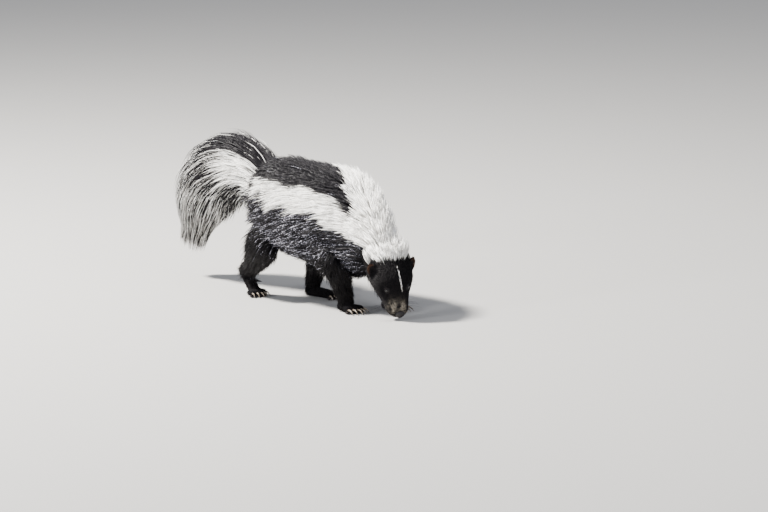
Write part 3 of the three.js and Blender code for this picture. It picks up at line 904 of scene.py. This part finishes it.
def coat_length(s):
    sine = np.sin(np.radians(s["angle"]))
    trunk = 27 + 7 * step(-sine, -0.95, -0.1) - 16 * step(-sine, 0.35, 0.9)
    trunk = trunk * (1 - 0.25 * step(s["t"], 0.72, 0.95)) + 5 * step(-s["t"], -0.12, -0.02)
    x = s["h"][:, 0]
    head = np.interp(x, [-8, 4, 14, 26, 40, 52, 64, 76], [20, 14, 9, 6.5, 4.6, 3.4, 2.6, 1.7])
    head = head * (1 + 0.8 * step(-s["h"][:, 2], 2, 16) * step(-x, -44, -10))
    leg = np.interp(s["leg_t"], [0, 0.25, 0.45, 0.7, 0.9, 1], [28, 25, 20, 12.5, 7, 4.5])
    return s["trunk"] * trunk + s["head"] * head + s["leg"] * leg + s["foot"] * 3.4 + s["tail"] * 26


def coat_density(s):
    x = s["h"][:, 0]
    head = np.interp(x, [-8, 4, 14, 26, 40, 60, 76], [0.5, 0.8, 1.3, 1.9, 2.6, 3.2, 3.6])
    leg = np.interp(s["leg_t"], [0, 0.3, 0.6, 0.9], [0.35, 0.45, 0.8, 1.4])
    made = s["trunk"] * 0.33 + s["head"] * head + s["leg"] * leg + s["foot"] * 1.7 + s["tail"] * 0.25
    return (made + 1.2 * s["round_ear"]) * (1 - 0.85 * s["inner_ear"])


def bare(p, s):
    """Places without hair: the eyes, the nose, the soles and the lips' edge."""
    h = s["h"]
    none = p[:, 2] < 1.8
    for side in (1, -1):
        look = mirrored(EYE["look"], side)
        at = mirrored(EYE["at"], side) + unit(look) * 2.5
        none |= np.linalg.norm((h - at) / [4.7, 4.7, 3.9], axis=1) < 1
    none |= np.linalg.norm((h - NOSE["at"]) / [6.2, 6.6, 5.2], axis=1) < 1
    none |= (np.abs(h[:, 2] - mouth_line(h[:, 0])) < 0.8) & (h[:, 0] > MOUTH["back"]) & (np.abs(h[:, 1]) > 3)
    return none


# Each part's rectangle on the unwrap: its lower left corner, width and height.
CHARTS = {"trunk": (0.02, 0.50, 0.96, 0.46), "tail": (0.02, 0.30, 0.46, 0.18),
          "head": (0.50, 0.02, 0.48, 0.46), "leg": (0.02, 0.02, 0.46, 0.26)}


def unwrapped(s):
    """A place on an unwrap of the skin: every part is rolled out flat in a rectangle of its own."""
    uv = np.zeros((len(s["t"]), 2))
    owner = np.argmax(np.stack([s["trunk"], s["tail"], s["head"], s["leg"] + s["foot"]]), 0)
    around = {"trunk": s["angle"] / 360, "tail": s["tail_angle"] / 360, "leg": s["leg_angle"]}
    along = {"trunk": s["t"], "tail": s["tail_t"], "leg": s["leg_t"]}
    for k, (name, (x, y, wide, high)) in enumerate(CHARTS.items()):
        mine = owner == k
        if name == "head":
            h = s["h"][mine]
            turn = np.arctan2(h[:, 2], h[:, 1]) / (2 * np.pi) + 0.5
            uv[mine] = columns(x + wide * turn, y + high * np.clip((h[:, 0] + 15) / 100, 0, 1))
        else:
            uv[mine] = columns(x + wide * along[name][mine], y + high * around[name][mine])
    return uv


def tangled(p, lie, n, degrees):
    """The lie with a slow drift over the body and a small turn of each tuft's own."""
    slow = degrees * drift(p, 38) + 0.5 * degrees * drift(p, 13, 4.0)
    turn = np.radians(slow + rng.normal(0, 0.5 * degrees, len(p)))
    return unit(lie * np.cos(turn)[:, None] + np.cross(n, lie) * np.sin(turn)[:, None])


def clump(places, tips, spacing, strength):
    """Moves each tip towards that of the nearest leading tuft, so that the coat falls in locks."""
    leaders = rng.permutation(len(places))[:max(8, int(len(places) / spacing))]
    tree = kdtree.KDTree(len(leaders))
    for k, leader in enumerate(leaders):
        tree.insert(places[leader], k)
    tree.balance()
    nearest = leaders[[tree.find(place)[1] for place in places]]
    return (tips[nearest] - tips) * strength[:, None]


def dust(p, h):
    """Two pale dusty patches on top of the muzzle, either side of its middle."""
    left = np.exp(-((h[:, 0] - 70) / 9.0) ** 2 - ((h[:, 1] - 5.2) / 4.8) ** 2)
    right = np.exp(-((h[:, 0] - 67) / 8.5) ** 2 - ((h[:, 1] + 7.6) / 5.4) ** 2)
    return np.clip((1.2 * left + 0.75 * right) * (0.8 + 0.9 * drift(p, 5)), 0, 0.95) * (h[:, 2] > -4)


def hair_colours(p, s):
    white = whiteness(p, s, SHOWN_BEHIND)
    white = np.clip(white + 0.10 * rng.normal(size=len(p)) * (white > 0.1) * (white < 0.95), 0, 1)
    white = np.where((white > 0.25) & (white < 0.75), (rng.random(len(p)) < white).astype(float), white)
    shade = (1 + 0.16 * rng.normal(size=len(p)))[:, None]
    root = mix(BLACK, WHITE_ROOT, white[:, None])
    tip = mix(BLACK_TIP, WHITE_TIP, white[:, None])
    face = np.clip(s["head"] + s["leg"] + s["foot"], 0, 1)[:, None]
    tip = tip + (FACE - tip) * face * (1 - white)[:, None]
    # Painted highlights: a pale tip on some black hairs where light would glint on them.
    painted_glint_mask = (rng.random(len(p)) < PAINTED_GLINT_SHARE * painted_glint_chance(s)) & (white < 0.1)
    tip = np.where(painted_glint_mask[:, None], PAINTED_GLINT, tip)
    ear, brown = s["ear_brown"][:, None], ear_colour(s)
    root, tip = mix(root, brown * 0.7, ear), mix(tip, brown, ear)
    dusty = (dust(p, s["h"]) * s["head"] * (rng.random(len(p)) < 0.75))[:, None]
    root, tip = mix(root, 0.4 * DUST, dusty), mix(tip, DUST, dusty)
    return root * shade, tip * shade, np.where(painted_glint_mask, PAINTED_GLINT_FADE, EVEN_FADE)


def painted_glint_chance(s):
    """Where painted highlights (glints of light on hair tips) lie: most on the flanks, hardly any on the
    back, fewer on the belly and thighs.
    """
    down = -np.sin(np.radians(s["angle"]))
    flank = 0.02 + 0.98 * step(down, -0.8, -0.1) + 0.5 * step(down, 0, 0.5)
    thigh = 0.2 * s["leg"] * step(-s["leg_t"], -0.3, -0.1)
    return s["trunk"] * flank * (1 - 0.8 * step(down, 0.55, 0.9)) + thigh


def ear_colour(s):
    """Reddish brown where the ear stands up, nearly black down in its opening, where its own dark canal is
    darkened further with painted shade.
    """
    return mix(EAR_CANAL_AND_SHADE, EAR_INSIDE, s["ear_top"][:, None])


def tuft_sizes(s, white):
    """Each tuft's length and width, and how far it lifts off the skin at its root and at its tip."""
    count = len(white)
    length = coat_length(s) * np.exp(0.16 * rng.normal(size=count))
    length = np.where(s["round_ear"] > 0.5, np.minimum(length, 6.0), length)
    length = np.where(s["ear"] > 0.5, 3.2 + 1.4 * rng.random(count) - 1.2 * s["inner_ear"], length)
    guard = (rng.random(count) < GUARD_SHARE) & (length > 10)
    width = np.clip(0.34 + 0.030 * length, 0.36, 1.35) * (0.85 + 0.3 * rng.random(count))
    width = np.where(guard, 0.65 * width, width)
    length = np.where(guard, 1.22 * length, length)
    lift = np.interp(length, [2, 8, 20, 34], [15, 20, 28, 31]) + 5 * white + 5 * guard
    droop = np.interp(length, [2, 8, 20, 34], [7, 8, 7, 6]) + 4 * white + 3 * guard
    lift = np.radians(np.minimum(lift + 5 * rng.normal(size=count), 42))
    droop = np.radians(np.minimum(droop + 4 * rng.normal(size=count), 15))
    return length, width, lift, droop


def body_coat(skin, materials):
    """Sows tufts over the skin and makes them in pieces, by their length and by whether their ends carry
    painted highlights.
    """
    mesh = skin.data
    p, n, tri = get_points(mesh), read(mesh.vertex_normals, "vector", 3).astype(float), skin_triangles(mesh)
    s = survey(p, n)
    colour_skin(skin, p, s)
    density = coat_density(s) * (1 - bare(p, s))
    places, normals = sow(p, n, tri, density, BODY_TUFTS)
    s = survey(places, normals)
    lie = np.where(s["ear"][:, None] > 0.5, ear_lie(places, normals), s["lie"])
    lie = tangled(places, lie, normals, 6)
    length, width, lift, droop = tuft_sizes(s, whiteness(places, s))
    root, tip, fade = hair_colours(places, s)
    start = normals * np.sin(lift)[:, None] + lie * np.cos(lift)[:, None]
    end = normals * np.sin(droop)[:, None] + lie * np.cos(droop)[:, None] + np.array([0, 0, -0.08])
    tips = places + length[:, None] * (start + end) / 2
    pull = clump(places, tips, 14, 0.38 * step(length, 5, 16))
    each = (places, start, end, length, width, pull, np.cross(normals, lie), root, tip, unwrapped(s))
    short = (s["head"] + s["foot"] > 0.5) | (s["leg"] > 0.5) & (s["leg_t"] > 0.5) | (length < 8)
    # Hairs whose tips carry painted highlights make pieces of their own, with their own material.
    painted_glints = (fade == PAINTED_GLINT_FADE) & ~short
    long = length > 29
    plain = ~short & ~painted_glints
    kinds = {
        "long": (long & plain, 3, "coat"),
        "middle": (~long & plain, 2, "coat"),
        "painted_glints": (painted_glints, 3, "painted_glint_coat"),
        "short": (short, 2, "short_coat"),
    }
    for name, (chosen, stations, look) in kinds.items():
        order = np.flatnonzero(chosen)
        order = order[np.argsort(places[order, 0], kind="stable")]
        pieces = max(1, math.ceil(len(order) * TUFT_TRIANGLES[stations] / PIECE_TRIANGLES))
        for k, group in enumerate(np.array_split(order, pieces)):
            parts = (values[group] for values in each)
            obj = tufts(f"coat_{name}_{k + 1}", *parts, stations, fade=fade[group])
            dress(obj, materials[look])


def ear_lie(p, n):
    """Hair on the ears grows to their tips."""
    h = to_head(p)
    lie = np.zeros_like(p)
    for side in (1, -1):
        lie[h[:, 1] * side > 0] = HEAD @ ear_frame(side)[:, 2]
    return unit(along_skin(lie, n) + 1e-6)


def colour_skin(skin, p, s):
    white = whiteness(p, s)[:, None]
    colour = BLACK * 1.3 + (WHITE_ROOT * 0.75 - BLACK) * white
    # The ear's skin takes the ear's colour, painted shade in its opening included.
    colour = mix(colour, ear_colour(s), s["ear_brown"][:, None])
    sole = step(-p[:, 2], -3.2, -1.4)[:, None]
    paint(skin, mix(colour, PAD, sole))


def tail_coat(material):
    """Long hair from the tail's core out to its full outline, following the tail's own bend."""
    total = TAIL_TUFTS
    start_t = 0.77 * (np.arange(total) + rng.random(total)) / total
    angle = rng.random(total) * 2 * np.pi
    angle = angle + 0.10 * drift(columns(start_t * TAIL_LENGTH, angle * 40, 0 * angle), 30)
    reach = (0.30 + 0.07 * rng.random(total)) * (0.75 + 0.25 * step(start_t, 0, 0.2))
    core = tail_core(start_t) - 0.05
    full = np.clip(0.30 + 0.72 * rng.random(total) ** 0.6, 0, 1.02)
    clumps = 0.10 * drift(columns(start_t * TAIL_LENGTH, np.cos(angle) * 50, np.sin(angle) * 50), 16, 1.0)
    swing = 0.10 * rng.normal(size=total)

    def spine(u):
        t = start_t + reach * u
        centre, side, up = tail_at(np.minimum(t, 1))
        past = np.maximum(t - 1, 0)[:, None] * TAIL_LENGTH
        ahead = unit(np.cross(side, up))
        share = (core + (full * (1 + clumps) - core) * (1 - (1 - min(max(u, 0), 1)) ** 1.5))[:, None]
        turn = (angle + swing * u)[:, None]
        shrink = 1 - 0.35 * step(past / 60, 0, 1)
        fall = np.array([0, 0, -7.0]) * u * u
        return centre + ahead * past + (side * np.cos(turn) + up * np.sin(turn)) * share * shrink + fall

    middle, side, up = tail_at(start_t)
    radial = unit(side * np.cos(angle)[:, None] + up * np.sin(angle)[:, None])
    ahead = unit(np.cross(side, up))
    white = (rng.random(total) < white_tail(start_t + 0.3 * reach, angle)).astype(float)[:, None]
    shade = (1 + 0.15 * rng.normal(size=total))[:, None]
    root = (WHITE_ROOT * white + BLACK * (1 - white)) * shade
    tip = (WHITE_TIP * 0.92 * white + BLACK_TIP * (1 - white)) * shade
    width = 1.10 + 0.5 * rng.random(total)
    x, y, wide, high = CHARTS["tail"]
    uv = columns(x + wide * start_t, y + high * (angle % (2 * np.pi)) / (2 * np.pi))
    across = np.cross(radial, ahead)
    each = (middle, ahead, ahead, reach * TAIL_LENGTH, width, 0 * middle, across, root, tip, uv)
    for k, group in enumerate(np.array_split(np.argsort(start_t, kind="stable"), TAIL_PIECES)):
        obj = tufts(f"coat_tail_{k + 1}", *(values[group] for values in each), 4,
                    lambda u, group=group: spine(u)[group])
        dress(obj, material)


def whiskers(material):
    """A few thin bristles on the muzzle and over the eyes."""
    roots, ways, lengths = [], [], []
    for side in (1, -1):
        for k in range(9):
            row, place = divmod(k, 3)
            roots.append([58 + 4.0 * place + rng.random(), side * (12.0 - 0.9 * place), 2.0 - 3.2 * row])
            ways.append([-0.25 + 0.3 * rng.random(), side, 0.18 - 0.25 * row + 0.1 * rng.random()])
            lengths.append(20 + 12 * rng.random())
        for k in range(2):
            roots.append([38 + 4 * k, side * 15, 17.0])
            ways.append([-0.3, side * 0.7, 1.0])
            lengths.append(16 + 5 * rng.random())
    roots, ways, lengths = from_head(roots), unit(np.array(ways)) @ HEAD.T, np.array(lengths)
    n = len(roots)
    black = np.repeat(BLACK_TIP[None] * 1.4, n, 0)
    uv = columns(0.93 + 0.004 * (np.arange(n) % 10), 0.94 + 0.004 * (np.arange(n) // 10))
    droop = ways + np.array([0, 0, -0.5])
    obj = tufts("whiskers", roots - ways * 1.5, ways, droop, lengths, np.full(n, 0.42), 0 * roots,
                np.cross(ways, [0.0, 0.1, 1.0]), black, black * 1.5, uv, 4)
    dress(obj, material)


def eyes(material):
    for name, side in SIDES:
        look = unit(mirrored(EYE["look"], side))
        points, faces = ball((0, 0, 0), (1, 1, 1), 64)
        level = unit(np.cross([0, 0, 1.0], look))
        axes = columns(look, level, np.cross(look, level))
        ahead = np.clip(points[:, 0], 0, 1)
        bulge = 1 + 0.06 * step(ahead, 0.72, 0.95)
        placed = (points * (EYE["radius"] * bulge)[:, None]) @ axes.T + mirrored(EYE["at"], side)
        obj = new_object(f"eyeball_{name}", from_head(placed), faces)
        rim = step(-ahead, -0.86, -0.80)[:, None]
        paint(obj, mix(PUPIL, IRIS, rim))
        dress(obj, material, (f"eye_{name}",))


def small_piece(name, body, colour, spread, material, replaces=()):
    """A piece of one colour, which drifts a little over it by the spread."""
    obj = new_object(name, *body)
    shade = 1 + spread * drift(get_points(obj.data), 9)[:, None]
    paint(obj, np.clip(np.array(colour) * shade, 0, 1))
    dress(obj, material, replaces)


def make_animal():
    materials = make_materials()
    skin = finish_skin(make_skin())
    flesh = [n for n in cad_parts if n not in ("nose", "eye_left", "eye_right")]
    dress(skin, materials["skin"], flesh)
    body_coat(skin, materials)
    tail_coat(materials["coat"])
    whiskers(materials["coat"])
    eyes(materials["eye"])
    for name, side in SIDES:
        small_piece(f"lid_{name}", lid_body(side), FACE, 0.15, materials["skin"])
    small_piece("nose_leather", nose_points(), NOSE_LEATHER, 0.15, materials["nose"], ("nose",))
    small_piece("claws", claws_points(), CLAW_HORN, 0.25, materials["claw"])
    small_piece("pads", pads_points(), PAD, 0.15, materials["skin"])


# The photograph's view, the floor and the light

TARGET = np.array([80.0, -25.0, 0.0])
AZIMUTH, ELEVATION, DISTANCE = 45.0, 9.5, 5.2
FOCAL_PIXELS = 3640.0
FRAME_PIXELS = (768, 512)
TARGET_PIXEL = (346, 311)
SENSOR = 36.0
# Each light's place and aim in metres, its size, power and colour.
LIGHTS = {
    "key": ((-1.35, -1.05, 2.45), (0.05, 0, 0.1), 0.45, 560, (1.0, 0.97, 0.92)),
    "fill": ((-0.30, -3.1, 0.85), (0.1, 0, 0.1), 0.6, 75, (0.94, 0.96, 1.0)),
    "front": ((2.9, -0.3, 1.5), (0.1, 0, 0.1), 1.8, 40, (0.96, 0.97, 1.0)),
}
STUDIO_COLOUR = (0.86, 0.90, 1.0, 1)
STUDIO_STRENGTH = 0.72
FLOOR_SIZE = 40.0


def set_camera():
    a, e = math.radians(AZIMUTH), math.radians(ELEVATION)
    back = np.array([math.sin(a) * math.cos(e), -math.cos(a) * math.cos(e), math.sin(e)])
    right = np.array([math.cos(a), math.sin(a), 0.0])
    up = np.cross(back, right)
    across = (FRAME_PIXELS[0] / 2 - TARGET_PIXEL[0]) / FOCAL_PIXELS * DISTANCE
    down = (TARGET_PIXEL[1] - FRAME_PIXELS[1] / 2) / FOCAL_PIXELS * DISTANCE
    place = (TARGET + MIDDLE) * 0.001 + right * across + up * down + back * DISTANCE
    data = bpy.data.cameras.new("camera")
    data.sensor_width = SENSOR
    data.lens = FOCAL_PIXELS * SENSOR / FRAME_PIXELS[0]
    data.clip_end = 200
    camera = in_scene("camera", data)
    rows = [[right[k], up[k], back[k], place[k]] for k in range(3)]
    camera.matrix_world = Matrix(rows + [[0, 0, 0, 1]])
    bpy.context.scene.camera = camera


def set_floor():
    bpy.ops.mesh.primitive_plane_add(size=FLOOR_SIZE, location=(0, 0, -0.0002))
    floor = bpy.context.object
    floor.name = "floor"
    material, shader = new_material("floor", 0.9, 0.5)
    shader.inputs["Base Color"].default_value = FLOOR_GREY
    floor.data.materials.append(material)


def area_light(name, place, aim, size, power, colour):
    data = bpy.data.lights.new(name, "AREA")
    data.shape = "DISK"
    data.size = size
    data.energy = power
    data.color = colour
    lamp = in_scene(name, data)
    lamp.location = place
    lamp.rotation_euler = (Vector(aim) - Vector(place)).to_track_quat("-Z", "Y").to_euler()


def set_light():
    world = bpy.data.worlds.new("studio")
    world.use_nodes = True
    sky = world.node_tree.nodes["Background"].inputs
    sky["Color"].default_value = STUDIO_COLOUR
    sky["Strength"].default_value = STUDIO_STRENGTH
    bpy.context.scene.world = world
    for name, settings in LIGHTS.items():
        area_light(name, *settings)


make_animal()
set_camera()
set_floor()
set_light()
